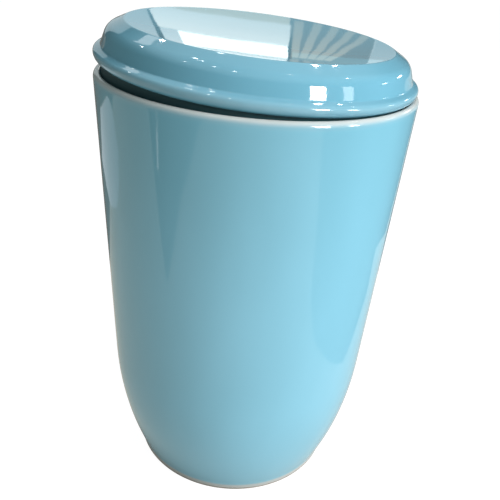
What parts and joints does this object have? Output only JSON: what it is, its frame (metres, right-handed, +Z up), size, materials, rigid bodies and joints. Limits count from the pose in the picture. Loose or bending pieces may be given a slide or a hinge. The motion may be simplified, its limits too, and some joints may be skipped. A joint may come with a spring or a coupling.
{
  "type": "lidded cremation urn",
  "caption": "Tall round glazed urn, hollow, with a tapered wall, a rounded belly, a low foot and a dished lift-off lid that lies slightly askew on its lip.",
  "frame": {"origin": "centre of the foot, on the surface that the urn stands on", "axes": "+Z up along the body's axis, -Y towards the viewer of the picture"},
  "size_m": [0.1808, 0.1808, 0.2878],
  "materials": {
    "body": "gloss, light blue glaze that thins to pale buff at the lip and foot",
    "lid": "gloss, light blue glaze that thins to pale buff on its edges"
  },
  "bodies": {
    "root": {"body": "body", "lid": "lid"}
  },
  "joints": []
}
